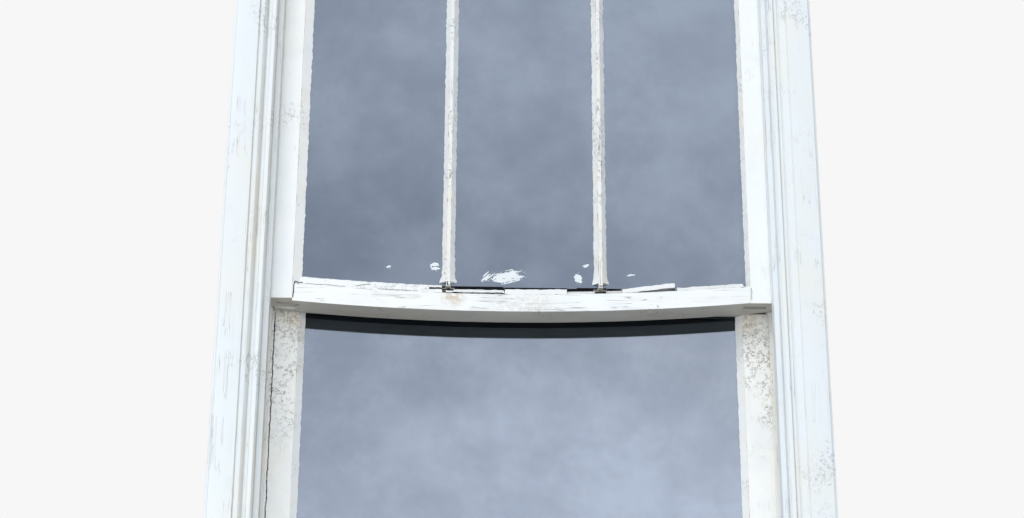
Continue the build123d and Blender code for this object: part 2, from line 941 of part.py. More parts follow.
# Pulley cases, wheels and chains
for sash, y in runways.items():
    sash_top = head if sash == "upper" else lower_top
    for name, side in sides.items():
        x = side * wheel_x
        with BuildPart() as pulley_case:
            block(
                (side * jamb_face, side * (jamb_face + case_plate)),
                (y - 14, y + 14),
                (wheel_z - case_half_height, wheel_z + case_half_height),
            )
            for cheek in (-1, 1):
                block(
                    (side * (jamb_face + case_plate), side * (wheel_x + 9)),
                    (y + cheek * 7, y + cheek * 9.5),
                    (wheel_z - 30, wheel_z + 30),
                )
            block(
                (side * (jamb_face - 1), side * (jamb_face + case_plate + 1)),
                (y - 7, y + 7),
                (wheel_z - 26, wheel_z + 26),
                Mode.SUBTRACT,
            )
            rod_y(x, wheel_z, pin_radius, y - 9.5, y + 9.5)
            for z in (-46, 46):
                with Locations((side * jamb_face, y, wheel_z + z)):
                    Cylinder(4, 1.6, rotation=(0, 90, 0))
        save(pulley_case, f"{sash}_pulley_case_{name}")

        with BuildPart() as pulley_wheel:
            groove_floor = chain_radius - chain_thickness / 2 - chain_clearance
            rod_y(x, wheel_z, wheel_radius, y - wheel_thickness / 2, y + wheel_thickness / 2)
            with BuildSketch(Plane.XZ.offset(-y - wheel_groove / 2)):
                with Locations((x, wheel_z)):
                    Circle(wheel_radius + 1)
                    Circle(groove_floor, mode=Mode.SUBTRACT)
            extrude(amount=wheel_groove, mode=Mode.SUBTRACT)
            rod_y(x, wheel_z, pin_radius + pin_clearance, y - 10, y + 10, Mode.SUBTRACT)
            for k in range(5):
                hole = Vector(14, 0, 0).rotate(Axis.Y, 72 * k + 20)
                rod_y(x + hole.X, wheel_z + hole.Z, 3.5, y - 10, y + 10, Mode.SUBTRACT)
        save(pulley_wheel, f"{sash}_pulley_wheel_{name}")

        with BuildPart() as sash_chain:
            sash_x = side * (wheel_x - chain_radius)
            drop_x = side * weight_x
            fixing_z = sash_top - chain_fixing
            with BuildSketch(Plane.XZ.offset(-y - chain_width / 2)):
                with BuildLine():
                    Line((sash_x, fixing_z), (sash_x, wheel_z))
                    ThreePointArc((sash_x, wheel_z), (x, wheel_z + chain_radius), (drop_x, wheel_z))
                    Line((drop_x, wheel_z), (drop_x, weight_top[sash] + eye_height + chain_thickness / 2))
                    offset(amount=chain_thickness / 2, side=Side.BOTH)
                make_face()
            extrude(amount=chain_width)
            block(
                (side * (sash_half - edge_groove_depth), sash_x + side * chain_thickness / 2),
                (y - chain_width / 2, y + chain_width / 2),
                (fixing_z - 10, fixing_z + 3),
            )
        save(sash_chain, f"{sash}_chain_{name}")
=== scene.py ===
import json
import math

import bmesh
import bpy
from mathutils import Matrix, Vector, noise


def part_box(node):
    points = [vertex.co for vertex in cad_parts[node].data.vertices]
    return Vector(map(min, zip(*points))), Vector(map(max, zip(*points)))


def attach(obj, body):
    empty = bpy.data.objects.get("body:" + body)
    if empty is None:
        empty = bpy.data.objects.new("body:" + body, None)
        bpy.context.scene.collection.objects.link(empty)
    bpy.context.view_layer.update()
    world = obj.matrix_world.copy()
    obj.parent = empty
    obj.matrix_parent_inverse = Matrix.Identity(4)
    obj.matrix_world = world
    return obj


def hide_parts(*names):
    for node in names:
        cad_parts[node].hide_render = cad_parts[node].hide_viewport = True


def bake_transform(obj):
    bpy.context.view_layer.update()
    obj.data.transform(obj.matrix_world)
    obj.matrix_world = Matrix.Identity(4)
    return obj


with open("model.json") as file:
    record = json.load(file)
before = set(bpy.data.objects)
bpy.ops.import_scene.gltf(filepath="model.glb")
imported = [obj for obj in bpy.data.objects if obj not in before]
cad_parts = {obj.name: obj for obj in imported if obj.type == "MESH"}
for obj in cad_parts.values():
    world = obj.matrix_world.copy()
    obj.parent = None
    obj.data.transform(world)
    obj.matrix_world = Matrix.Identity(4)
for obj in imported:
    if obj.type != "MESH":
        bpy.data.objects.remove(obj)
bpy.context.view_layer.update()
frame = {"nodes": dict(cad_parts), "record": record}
nodes = frame["nodes"]
bodyOf = {name: body for body, names in frame["record"]["behaviour"]["bodies"].items() for name in names}
slotOf = {part["node"]: part["material_slot"] for part in frame["record"]["subparts"]}
noiseSeed = 7       # noise_vector takes the clock's time otherwise, and the putty would differ in each run
noise.seed_set(noiseSeed)
print("frame loaded:", len(nodes), "nodes")

# Camera: below the sill line and looking up
cameraSetup = {
    "place": (-0.0806, -3.088, -0.3394),
    "pitch": 20.45,
    "yaw": 1.17,
    "roll": 0.27,
    "lens": 67.6,
    "shift": 0.04,
}


def makeCamera(setup):
    pitch, yaw, roll = (math.radians(setup[k]) for k in ("pitch", "yaw", "roll"))
    forward = Vector((math.sin(yaw) * math.cos(pitch), math.cos(yaw) * math.cos(pitch), math.sin(pitch)))
    right = Vector((math.cos(yaw), -math.sin(yaw), 0))
    up = right.cross(forward)
    rolledRight = right * math.cos(roll) + up * math.sin(roll)
    rolledUp = up * math.cos(roll) - right * math.sin(roll)
    turn = Matrix((rolledRight, rolledUp, -forward)).transposed().to_4x4()
    data = bpy.data.cameras.new("photoCamera")
    data.sensor_width = 36
    data.lens = setup["lens"]
    data.shift_y = setup["shift"]
    camera = bpy.data.objects.new("photoCamera", data)
    camera.matrix_world = Matrix.Translation(setup["place"]) @ turn
    bpy.context.scene.collection.objects.link(camera)
    bpy.context.scene.camera = camera


makeCamera(cameraSetup)


crackAndShadeFade = {"side": (0.6, 1.1), "end": (0.92, 1.03)}       # where cracks and painted shade lines fade, as shares of their half size


# Short ways to build a material's nodes
class Tree:
    def __init__(self, name):
        self.material = bpy.data.materials.new(name)
        self.material.use_nodes = True
        self.nodes = self.material.node_tree.nodes
        self.links = self.material.node_tree.links
        self.shader = self.nodes["Principled BSDF"]

    def put(self, socket, value):
        if isinstance(value, bpy.types.NodeSocket):
            self.links.new(value, socket)
        else:
            socket.default_value = value

    def add(self, kind, inputs=None, **settings):
        node = self.nodes.new("ShaderNode" + kind)
        for key, value in settings.items():
            setattr(node, key, value)
        for key, value in (inputs or {}).items():
            self.put(node.inputs[key], value)
        return node

    def place(self, scale=(1, 1, 1)):
        spot = self.add("TexCoord").outputs["Object"]
        return self.add("Mapping", {"Vector": spot, "Scale": scale}).outputs[0]

    def noise(self, vector, scale, detail=4, roughness=0.55):
        return self.add("TexNoise", {
            "Vector": vector, "Scale": scale, "Detail": detail, "Roughness": roughness}).outputs["Fac"]

    def ramp(self, value, low, high, start=0, end=1):
        return self.add("MapRange", {
            "Value": value, "From Min": low, "From Max": high, "To Min": start, "To Max": end},
            interpolation_type="SMOOTHSTEP").outputs[0]

    def math(self, operation, a, b=0.0):
        return self.add("Math", {0: a, 1: b}, operation=operation).outputs[0]

    def times(self, *values):
        total = values[0]
        for value in values[1:]:
            total = self.math("MULTIPLY", total, value)
        return total

    def mix(self, factor, a, b):
        node = self.add("Mix", data_type="RGBA")
        self.put(node.inputs["Factor"], factor)
        self.put(node.inputs[6], a if isinstance(a, bpy.types.NodeSocket) else (*a, 1))
        self.put(node.inputs[7], b if isinstance(b, bpy.types.NodeSocket) else (*b, 1))
        return node.outputs[2]

    def height(self, plain):
        return self.add("SeparateXYZ", {0: plain}).outputs["Z"]

    def near(self, plain, centre, inner, outer):
        apart = self.add("VectorMath", {0: plain, 1: centre}, operation="DISTANCE").outputs["Value"]
        return self.ramp(apart, inner, outer, 1, 0)

    # A thin band between two (x, z) points, 1 inside it and 0 outside: open cracks, and lines of painted
    # shade
    def crackAndShadeLine(self, plain, start, end, half):
        middle = ((start[0] + end[0]) / 2, 0, (start[1] + end[1]) / 2)
        reach = math.dist(start, end) / 2
        lean = math.atan2(end[1] - start[1], end[0] - start[0])
        along = self.add("Mapping", {"Vector": plain, "Location": middle, "Rotation": (0, -lean, 0),
                                     "Scale": (reach, 1, half)}, vector_type="TEXTURE").outputs[0]
        parts = self.add("SeparateXYZ", {0: along}).outputs
        across = self.ramp(self.math("ABSOLUTE", parts["Z"]), *crackAndShadeFade["side"], 1, 0)
        return self.times(across, self.ramp(self.math("ABSOLUTE", parts["X"]), *crackAndShadeFade["end"], 1, 0))

    def bump(self, height, distance, strength=1.0):
        return self.add("Bump", {"Height": height, "Distance": distance, "Strength": strength}).outputs[0]

    def finish(self, **inputs):
        for key, value in inputs.items():
            self.put(self.shader.inputs[key.replace("_", " ")], value)
        return self.material


# Old oil paint on wood: brush marks, crackle in patches, long splits, cream and soot stains, rare chips
paintLook = {
    "colour": (0.885, 0.915, 0.93),
    "cream": (0.86, 0.79, 0.62),
    "cool": (0.76, 0.81, 0.86),
    "soot": (0.16, 0.14, 0.11),
    "wood": (0.36, 0.29, 0.21),
    "grain": "z",
    "cell": 0.0055,         # crackle cell across the grain, metres
    "stretch": 0.5,         # along the grain
    "brush": 0.03,          # the same for brush marks and splits
    "bend": 0.0035,         # how far crackle lines wander, metres
    "shake": 0.004,         # how far open cracks wander
    "crackle": 0.55,        # noise level where crackle begins; lower is more of it
    "crackleTone": 0.5,
    "broken": 0.47,         # noise level that breaks the crackle into short marks; 0 leaves it whole
    "splits": 0.35,
    "splitFrom": 0.56,      # noise level where splits begin
    "creamAmount": 0.35,
    "chips": 0.74,
    "top": None,            # crackle and cream only above this height, when given
    "spots": [],            # stains: middle, solid radius, faded radius, colour, amount
    "cracks": [],           # open cracks and painted shade lines: both ends as (x, z), and half the width
    "open": (0.02, 0.02, 0.025),        # colour inside them
    "relief": 0.0005,
}

# Painted shade along the upper panes' lower edge: a near-black band on the glass, thickest where the gap
# under them is open
paneEdgeShade = [
    ((-0.1620, 0.8474), (-0.0300, 0.8472), 0.0023),
    ((-0.0300, 0.8470), (0.0800, 0.8470), 0.0009),
    ((0.0950, 0.8472), (0.1480, 0.8474), 0.0018),
    ((0.1480, 0.8472), (0.1740, 0.8472), 0.0008),
    ((0.2300, 0.8500), (0.2900, 0.8520), 0.0008),
]

# Near-black cracks where the sagging rail has pulled away: from the stiles, the muntins and the putty. The
# widest marks, by the muntins' feet, are painted shadow of the open gaps
gapCracksAndShade = [
    ((-0.3952, 0.820), (-0.3936, 0.853), 0.0013),
    ((-0.3930, 0.8523), (-0.3785, 0.8488), 0.0011),
    ((0.3985, 0.826), (0.3990, 0.849), 0.0005),
    ((-0.3760, 0.8480), (-0.3050, 0.8432), 0.0006),
    ((-0.2870, 0.8450), (-0.2620, 0.8505), 0.0008),
    ((-0.2500, 0.8395), (-0.1800, 0.8365), 0.0006),
    ((-0.1610, 0.8435), (-0.1340, 0.8435), 0.0030),
    ((-0.1210, 0.8350), (-0.0310, 0.8346), 0.0010),
    ((-0.1385, 0.8521), (-0.1264, 0.8536), 0.0012),
    ((-0.1298, 0.8528), (-0.1253, 0.8430), 0.0016),
    ((0.1340, 0.8488), (0.1475, 0.8489), 0.0012),
    ((0.1287, 0.8450), (0.1470, 0.8455), 0.0016),
    ((-0.1380, 0.8415), (-0.1180, 0.8415), 0.0035),
    ((0.1270, 0.8425), (0.1470, 0.8425), 0.0035),
]


def agedPaint(name, **changes):
    look = {**paintLook, **changes}
    t = Tree(name)

    def pulled(amount):
        return (amount, 1, 1) if look["grain"] == "x" else (1, 1, amount)

    plain = t.place()
    drawn = t.place(pulled(look["stretch"]))
    brushed = t.place(pulled(look["brush"]))

    # crackle: wandering cell edges, in patches, broken into short marks
    bent = t.add("TexNoise", {"Vector": plain, "Scale": 160, "Detail": 2}).outputs["Color"]
    bent = t.add("VectorMath", {0: bent, "Scale": look["bend"]}, operation="SCALE").outputs[0]
    drawn = t.add("VectorMath", {0: drawn, 1: bent}, operation="ADD").outputs[0]
    edge = t.add("TexVoronoi", {"Vector": drawn, "Scale": 1 / look["cell"]},
                 feature="DISTANCE_TO_EDGE").outputs["Distance"]
    upper = 1.0
    if look["top"]:
        upper = t.ramp(t.height(plain), look["top"] - 0.07, look["top"] + 0.05)
    patch = t.times(t.ramp(t.noise(plain, 11, 5), look["crackle"], look["crackle"] + 0.14), upper)
    crackle = t.times(t.ramp(edge, 0.01, 0.12, 1, 0), patch)
    crackle = t.times(crackle, t.ramp(t.noise(plain, 150, 3), look["broken"], look["broken"] + 0.08))

    # brush marks, splits along the grain, stains and chips
    fibre = t.noise(brushed, 210, 5, 0.6)
    line = t.math("ABSOLUTE", t.math("SUBTRACT", t.noise(brushed, 95, 3), 0.5))
    splitPatch = t.ramp(t.noise(plain, 13, 3), look["splitFrom"], look["splitFrom"] + 0.1)
    split = t.times(t.ramp(line, 0.001, 0.011, 1, 0), splitPatch, look["splits"])
    stain = t.times(t.ramp(t.noise(drawn, 9, 6, 0.65), 0.47, 0.72), look["creamAmount"])
    shade = t.times(t.ramp(t.noise(plain, 16, 5), 0.42, 0.75), 0.35)
    chip = t.ramp(t.noise(plain, 85, 6, 0.6), look["chips"], look["chips"] + 0.02)

    colour = t.mix(shade, look["colour"], look["cool"])
    colour = t.mix(stain, colour, look["cream"])
    colour = t.mix(t.times(t.ramp(fibre, 0.5, 0.8), 0.25), colour, look["cream"])
    for centre, inner, outer, tone, amount in look["spots"]:
        speck = t.ramp(t.noise(plain, 120, 6, 0.7), 0.35, 0.62)
        colour = t.mix(t.times(t.near(plain, centre, inner, outer), speck, amount), colour, tone)
    colour = t.mix(t.times(crackle, look["crackleTone"]), colour, look["soot"])
    colour = t.mix(split, colour, look["soot"])
    colour = t.mix(chip, colour, look["wood"])
    if look["cracks"]:
        shaken = t.add("TexNoise", {"Vector": plain, "Scale": 90, "Detail": 3}).outputs["Color"]
        shaken = t.add("VectorMath", {0: shaken, 1: (0.5, 0.5, 0.5)}, operation="SUBTRACT").outputs[0]
        shaken = t.add("VectorMath", {0: shaken, "Scale": look["shake"]}, operation="SCALE").outputs[0]
        shaken = t.add("VectorMath", {0: shaken, 1: plain}, operation="ADD").outputs[0]
        for start, end, half in look["cracks"]:
            colour = t.mix(t.crackAndShadeLine(shaken, start, end, half), colour, look["open"])

    relief = t.math("SUBTRACT", t.times(fibre, 0.35), t.math("MAXIMUM", crackle, split))
    relief = t.math("SUBTRACT", relief, chip)
    relief = t.math("ADD", relief, t.times(t.noise(plain, 60, 2), 0.5))
    rough = t.ramp(t.noise(plain, 30, 3), 0.3, 0.7, 0.38, 0.6)
    return t.finish(Base_Color=colour, Roughness=rough, Normal=t.bump(relief, look["relief"], 0.8))


def rawWood(name, grain, light, dark):
    t = Tree(name)
    brushed = t.place((0.05, 1, 1) if grain == "x" else (1, 1, 0.05))
    rings = t.noise(brushed, 120, 6, 0.7)
    broad = t.noise(brushed, 22, 3)
    colour = t.mix(t.ramp(rings, 0.35, 0.65), light, dark)
    colour = t.mix(t.times(t.ramp(broad, 0.4, 0.7), 0.5), colour, dark)
    return t.finish(Base_Color=colour, Roughness=0.85, Normal=t.bump(rings, 0.0005, 0.6))


def bothWays(name, **changes):
    return {grain: agedPaint(name + grain.upper(), grain=grain, **changes) for grain in "xz"}


sashPaint = bothWays("sashPaint", crackle=0.6, creamAmount=0.3, cracks=gapCracksAndShade)
casingPaint = bothWays("casingPaint", colour=(0.79, 0.84, 0.87), crackle=0.56, cell=0.004, creamAmount=0.3,
                       crackleTone=0.4, splitFrom=0.5)
# Grey painted shade for the mouldings' right-facing hollows, also used on the casings' softened edges
quirkPaint = bothWays("quirkPaint", colour=(0.66, 0.67, 0.64), cream=(0.62, 0.56, 0.44), creamAmount=0.5,
                      crackle=0.5, splits=0.5)
edgePaint = bothWays("edgePaint", colour=(0.84, 0.83, 0.76), creamAmount=0.7, chips=0.66, crackle=0.45)
muntinPaint = agedPaint("muntinPaint", colour=(0.80, 0.83, 0.84), cell=0.005, crackle=0.45, crackleTone=0.7,
                        creamAmount=0.5, splits=0.8, splitFrom=0.48, chips=0.68, cracks=gapCracksAndShade)
railPaint = agedPaint(
    "railPaint", grain="x", cell=0.005, stretch=0.28, crackle=0.58, splits=0.6, splitFrom=0.45,
    creamAmount=0.22,
    spots=[((-0.118, 0.023, 0.828), 0.004, 0.03, (0.50, 0.36, 0.20), 0.75),
           ((0.0, 0.023, 0.812), 0.01, 0.09, (0.55, 0.50, 0.42), 0.4)], cracks=gapCracksAndShade)
# Whiter than the other paint: painted light that lifts the shade on the recessed lower stiles
lowerPaint = agedPaint(
    "lowerPaint", colour=(0.94, 0.96, 0.95), cell=0.0044, stretch=1.4, crackle=0.41, crackleTone=0.7,
    top=0.60, creamAmount=0.16, splits=0.4, splitFrom=0.52,
    spots=[((side * 0.41, 0.082, 0.828), 0.01, 0.05, (0.62, 0.53, 0.36), 0.5) for side in (-1, 1)]
    + [((side * 0.389, 0.082, 0.80), 0.002, 0.03, (0.60, 0.50, 0.34), 0.7) for side in (-1, 1)],
    # a painted shadow line on the left stile, beside the parting bead
    cracks=[((-0.4300, 0.42), (-0.4300, 0.815), 0.0011)])
# Darker, warmer paint for the faces that look down: weather stain and painted shade. It also covers the upper
# check rail's back and the walls of the upper stiles' tenon slots
soffitPaint = agedPaint("soffitPaint", grain="x", colour=(0.50, 0.48, 0.43), cream=(0.46, 0.40, 0.30),
                        cool=(0.40, 0.40, 0.38), creamAmount=0.6, splits=0.6)
roomPaint = bothWays("roomPaint", colour=(0.83, 0.82, 0.76), cream=(0.80, 0.75, 0.62), crackle=0.7,
                     splits=0.12, creamAmount=0.15, chips=0.85, relief=0.0003)
# Darker, greyer paint for the pulley stiles: painted shade of the narrow runways, with cream stains
runwayPaint = agedPaint("runwayPaint", colour=(0.76, 0.74, 0.68), cream=(0.58, 0.52, 0.40), creamAmount=0.5,
                        crackle=0.5, splits=0.5, chips=0.68)
# Near-black painted shade for the faces seen in the gap between the sashes
grime = agedPaint("grime", grain="x", colour=(0.05, 0.05, 0.05), cream=(0.10, 0.09, 0.07),
                  cool=(0.03, 0.03, 0.04), creamAmount=0.6, wood=(0.12, 0.09, 0.06))
pine = {grain: rawWood("pine" + grain.upper(), grain, (0.50, 0.38, 0.25), (0.30, 0.21, 0.13))
        for grain in "xz"}
print("paints mixed")


# Boards: a copy of each wooden node with softened edges, dressed face by face
boardEdge = {"soften": 0.0009, "steps": 3, "sharp": 24, "turned": 0.3, "flat": 0.9}
boardSides = {"front": 0, "edge": 1, "under": 2, "top": 3, "back": 4}       # a board's materials, in order
shadedQuirk = {"turned": 0.4, "notBack": 0.3, "within": 0.51}        # the mouldings' hollows that face right, dressed in a grey painted shade
tenonSlot = {"top": 0.87, "front": 0.03, "back": 0.064}       # open slots in the upper stiles' feet; their walls take the dark underside paint as painted shade


def copyNode(name):
    bm = bmesh.new()
    bm.from_mesh(nodes[name].data)
    bmesh.ops.remove_doubles(bm, verts=bm.verts, dist=1e-6)
    bmesh.ops.dissolve_limit(bm, angle_limit=math.radians(0.4), verts=bm.verts, edges=bm.edges)
    return bm


def soften(bm, amount, steps, sharp, material=-1):
    corners = [e for e in bm.edges if e.is_manifold and e.calc_face_angle(0) > math.radians(sharp)]
    bmesh.ops.bevel(bm, geom=corners, offset=amount, offset_type="OFFSET", segments=steps, profile=0.5,
                    affect="EDGES", clamp_overlap=True, material=material)


def makePiece(bm, pieceName, materials, body=None, smooth=18):
    mesh = bpy.data.meshes.new(pieceName)
    bm.to_mesh(mesh)
    bm.free()
    for material in materials:
        mesh.materials.append(material)
    for face in mesh.polygons:
        face.use_smooth = True
    mesh.set_sharp_from_angle(angle=math.radians(smooth))
    piece = bpy.data.objects.new(pieceName, mesh)
    bpy.context.scene.collection.objects.link(piece)
    if body:
        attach(piece, body)
    return piece


def camel(name):
    first, *rest = name.split("_")
    return first + "".join(word.capitalize() for word in rest)


def standFor(piece, name):
    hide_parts(name)
    return piece


def inShadedQuirk(name, face):
    moulded = name.startswith(("brickmould", "outside_casing"))
    facing = face.normal.y < shadedQuirk["notBack"] and face.normal.x > shadedQuirk["turned"]
    return moulded and facing and abs(face.calc_center_median().x) < shadedQuirk["within"]


def inTenonSlot(name, face):
    spot = face.calc_center_median()
    inside = spot.z < tenonSlot["top"] and tenonSlot["front"] < spot.y < tenonSlot["back"]
    return name.startswith("upper_sash_stile") and inside


def pickSide(name, face, softened):
    turned, flat, normal = boardEdge["turned"], boardEdge["flat"], face.normal
    # painted shade: the tenon slots' walls take the dark underside paint
    if inTenonSlot(name, face):
        return "under"
    if softened:
        if normal.z < -turned:        # the sagged rail's lower front arris gets the near-black painted shade of its top
            return "top" if name == "upper_sash_check_rail" and normal.y < -turned else "under"
        # the lower check rail's front-facing bevels get its near-black painted shade
        return "front" if name == "lower_sash_check_rail" and normal.y < -turned else "edge"
    if inShadedQuirk(name, face):
        return "edge"
    if normal.z < -flat:
        return "under"
    if normal.z > flat:
        return "top"
    return "back" if normal.y > flat else "front"


def dressBoard(name, front, edge, under, top, back):
    bm = copyNode(name)
    soften(bm, boardEdge["soften"], boardEdge["steps"], boardEdge["sharp"], boardSides["edge"])
    for face in bm.faces:
        softened = face.material_index == boardSides["edge"]
        face.material_index = boardSides[pickSide(name, face, softened)]
    return standFor(makePiece(bm, camel(name), (front, edge, under, top, back), bodyOf[name]), name)


acrossBoards = ("sill", "stool", "stop_bead_head", "parting_bead_head", "head_jamb", "brickmould_head",
                "outside_casing_head", "upper_sash_top_rail", "upper_sash_check_rail",
                "lower_sash_check_rail", "lower_sash_bottom_rail")


def boardFinish(name):
    grain = "x" if name in acrossBoards else "z"
    sash, casing, edge, room, raw = (m[grain] for m in (sashPaint, casingPaint, edgePaint, roomPaint, pine))
    # The upper check rail's top and the lower check rail's front, seen in the gap between the sashes, get
    # near-black painted shade
    if name == "upper_sash_check_rail":
        return railPaint, edge, soffitPaint, grime, soffitPaint
    if name.startswith("lower_sash_stile"):
        return lowerPaint, edge, soffitPaint, room, room
    if name == "lower_sash_check_rail":
        return grime, edge, soffitPaint, room, room
    if name.startswith("upper_sash_muntin"):
        return muntinPaint, edge, soffitPaint, room, room
    if name.startswith(("upper_sash", "lower_sash")):
        return sash, edge, soffitPaint, room, room
    if name == "sill":
        return sash, edge, raw, sash, raw
    if name.startswith(("brickmould", "outside_casing")):
        return casing, quirkPaint[grain], soffitPaint, raw, raw
    if name.startswith("pulley_stile"):
        return runwayPaint, runwayPaint, raw, raw, raw
    if name.startswith(("parting_bead", "head_jamb")):
        return sash, edge, sash, raw, room
    if name.startswith(("back_lining", "pocket_cover")):
        return raw, raw, raw, raw, raw
    return room, room, room, room, room


for name in sorted(nodes):
    if slotOf[name] in ("painted_wood", "inside_wood"):
        dressBoard(name, *boardFinish(name))
print("boards dressed")


# Glass: old drawn panes, faintly wavy, with a film of uneven roughness. The colour is painted light: the dark
# tint stands in for the shaded room behind, and the lighter cloud is a painted reflection of a cloudy sky, in
# clouds, lighter upwards on the upper panes, downwards on the lower pane, and towards the right
paneLooks = {
    "upperGlass": {
        "tint": (0.225, 0.275, 0.365), "cloud": (0.40, 0.475, 0.585),
        "low": 0.8, "high": 1.35,       # the painted sky reflection grows from one height to the other
        "shade": None, "dirt": paneEdgeShade},
    "lowerGlass": {
        "tint": (0.31, 0.365, 0.465), "cloud": (0.52, 0.59, 0.71),
        "low": 0.86, "high": 0.42,
        "shade": {"middle": (-0.0275, 0, 5.15086), "reach": 4.376},     # painted reflection of the sagged rail's shaded underside: a dark band below an arc that follows the rail
        "dirt": []},
}
glassLook = {
    "across": (-0.39, 0.39, -0.14, 0.24),       # left x, right x, and what each adds to the painted sky reflection
    "bandEdge": (-0.0012, 0.0008),
    "bandTone": (0.046, 0.060, 0.076),
    "band": 0.93,
    "dirtTone": (0.01, 0.01, 0.013),
    "rough": (0.03, 0.16),
}


def makeGlass(name, look):
    t = Tree(name)
    plain = t.place()
    # painted reflection of a cloudy sky, mixed over the tint
    paintedClouds = t.noise(plain, 5.5, 6, 0.6)
    low, high = sorted((look["low"], look["high"]))
    ends = (0, 1) if look["low"] < look["high"] else (1, 0)
    rise = t.ramp(t.height(plain), low, high, *ends)
    blend = t.math("ADD", t.times(t.ramp(paintedClouds, 0.3, 0.72), 0.55), t.times(rise, 0.45))
    sideways = t.add("SeparateXYZ", {0: plain}).outputs["X"]
    blend = t.math("ADD", blend, t.ramp(sideways, *glassLook["across"]))
    colour = t.mix(blend, look["tint"], look["cloud"])
    film = t.noise(plain, 90, 6, 0.7)
    # painted reflection: the sagged rail's shaded underside, as a dark band on the lower pane
    if look["shade"]:
        inner, outer = (look["shade"]["reach"] + step for step in glassLook["bandEdge"])
        under = t.near(t.place((1, 0, 1)), look["shade"]["middle"], inner, outer)
        colour = t.mix(t.times(under, glassLook["band"]), colour, glassLook["bandTone"])
    # painted shade: a near-black band along the pane's lower edge
    for start, end, half in look["dirt"]:
        colour = t.mix(t.crackAndShadeLine(plain, start, end, half), colour, glassLook["dirtTone"])
    waves = t.noise(t.place((1, 1, 0.35)), 9, 2)
    rough = t.ramp(film, 0.35, 0.75, *glassLook["rough"])
    return t.finish(Base_Color=colour, Roughness=rough, Metallic=0.8, IOR=1.5, Transmission_Weight=1.0,
                    Normal=t.bump(waves, 0.002, 0.5))


glassFinish = {name: makeGlass(name, look) for name, look in paneLooks.items()}
for name, node in nodes.items():
    if slotOf[name] == "glass":
        node.data.materials.clear()
        node.data.materials.append(glassFinish["lowerGlass" if name == "lower_pane" else "upperGlass"])
print("panes glazed")


# Putty: hand-laid, its line wanders and it has cracked across
puttyFinish = agedPaint("puttyPaint", colour=(0.85, 0.875, 0.88), cell=0.006, stretch=1.6, crackle=0.5,
                        creamAmount=0.4, splits=0.1, chips=0.7, cracks=gapCracksAndShade)
puttyShape = {"slice": 0.005, "wander": 0.0009, "lump": 0.0005, "glassY": 0.0335,
              "waves": 140, "ripples": 420, "rippleShare": 0.6}
muntinFoot = {"x": (-0.1278, 0.1368), "top": 0.882, "height": 0.025, "spread": 0.0042, "reach": 0.02,
              "core": 0.004, "fade": 0.006}         # the core stays, and the putty beside it spreads
railRuns = {
    "parted": (-0.133, -0.03), "lift": 0.0018,      # this run has come away from the rail
    "heaped": (-0.03, 0.079), "heap": 0.0035,       # this one is heaped up to the pane
    "front": 0.0236, "depth": 0.0099,
}


def layPutty(name, axis, shape, wander=1.0, extra=None):
    bm = copyNode(name)
    low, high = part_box(name)
    normal = Vector((0, 0, 0))
    normal[axis] = 1
    for k in range(1, int((high[axis] - low[axis]) / shape["slice"])):
        spot = Vector(low)
        spot[axis] += k * shape["slice"]
        bmesh.ops.bisect_plane(bm, geom=bm.verts[:] + bm.edges[:] + bm.faces[:], plane_co=spot,
                               plane_no=normal, dist=1e-5)
    for v in bm.verts:
        ripple = noise.noise_vector(v.co * shape["ripples"])
        push = noise.noise_vector(v.co * shape["waves"]) + shape["rippleShare"] * ripple
        v.co.x += push.x * shape["wander"] * wander
        v.co.z += push.z * shape["wander"] * wander
        if v.co.y < shape["glassY"]:
            v.co.y += abs(push.y) * shape["lump"]
        if extra:
            extra(v)
    bmesh.ops.recalc_face_normals(bm, faces=bm.faces)
    return standFor(makePiece(bm, camel(name), (puttyFinish,), bodyOf[name], 40), name)


def spreadFoot(v):
    for middle in muntinFoot["x"]:
        away = v.co.x - middle
        if abs(away) < muntinFoot["reach"] and v.co.z < muntinFoot["top"]:
            drop = min(1, (muntinFoot["top"] - v.co.z) / muntinFoot["height"])
            outer = max(0, min(1, (abs(away) - muntinFoot["core"]) / muntinFoot["fade"]))
            ragged = 0.9 + 0.5 * noise.noise(v.co * 200)
            v.co.x += math.copysign(1, away) * muntinFoot["spread"] * drop * drop * outer * ragged


def crackRun(v):
    if railRuns["parted"][0] < v.co.x < railRuns["parted"][1]:
        v.co.z += railRuns["lift"]
    elif railRuns["heaped"][0] < v.co.x < railRuns["heaped"][1]:
        v.co.z += railRuns["heap"] * max(0, min(1, (v.co.y - railRuns["front"]) / railRuns["depth"]))


layPutty("upper_putty", 2, puttyShape, 1.5, spreadFoot)
layPutty("lower_putty", 2, puttyShape)
layPutty("rail_putty", 0, puttyShape, 1.1, crackRun)
print("putty laid")

# Paint dragged and dabbed on the glass by an old brush
smearPaint = agedPaint("smearPaint", grain="x", colour=(0.77, 0.82, 0.86), cool=(0.60, 0.67, 0.74),
                       creamAmount=0.1, crackle=0.7, splits=0, chips=0.9, relief=0.0003)
smearLook = {"grid": 0.0007, "thick": 0.0003, "glassY": 0.034, "margin": 1.35, "body": 0.8, "cut": 0.15}
smears = [
    {"centre": (-0.024, 0.867), "reach": (0.032, 0.0135), "lean": 0.30, "ragged": 1.1},
    {"centre": (-0.060, 0.868), "reach": (0.012, 0.009), "lean": 0.9, "ragged": 1.5},
    {"centre": (-0.151, 0.885), "reach": (0.009, 0.009), "lean": 0.0, "ragged": 1.2},
    {"centre": (0.098, 0.866), "reach": (0.008, 0.011), "lean": -0.4, "ragged": 1.2},
    {"centre": (0.112, 0.890), "reach": (0.006, 0.004), "lean": 0.4, "ragged": 1.3},
    {"centre": (0.190, 0.874), "reach": (0.008, 0.002), "lean": 0.1, "ragged": 1.2},
    {"centre": (-0.232, 0.883), "reach": (0.005, 0.003), "lean": 0.2, "ragged": 1.2},
]


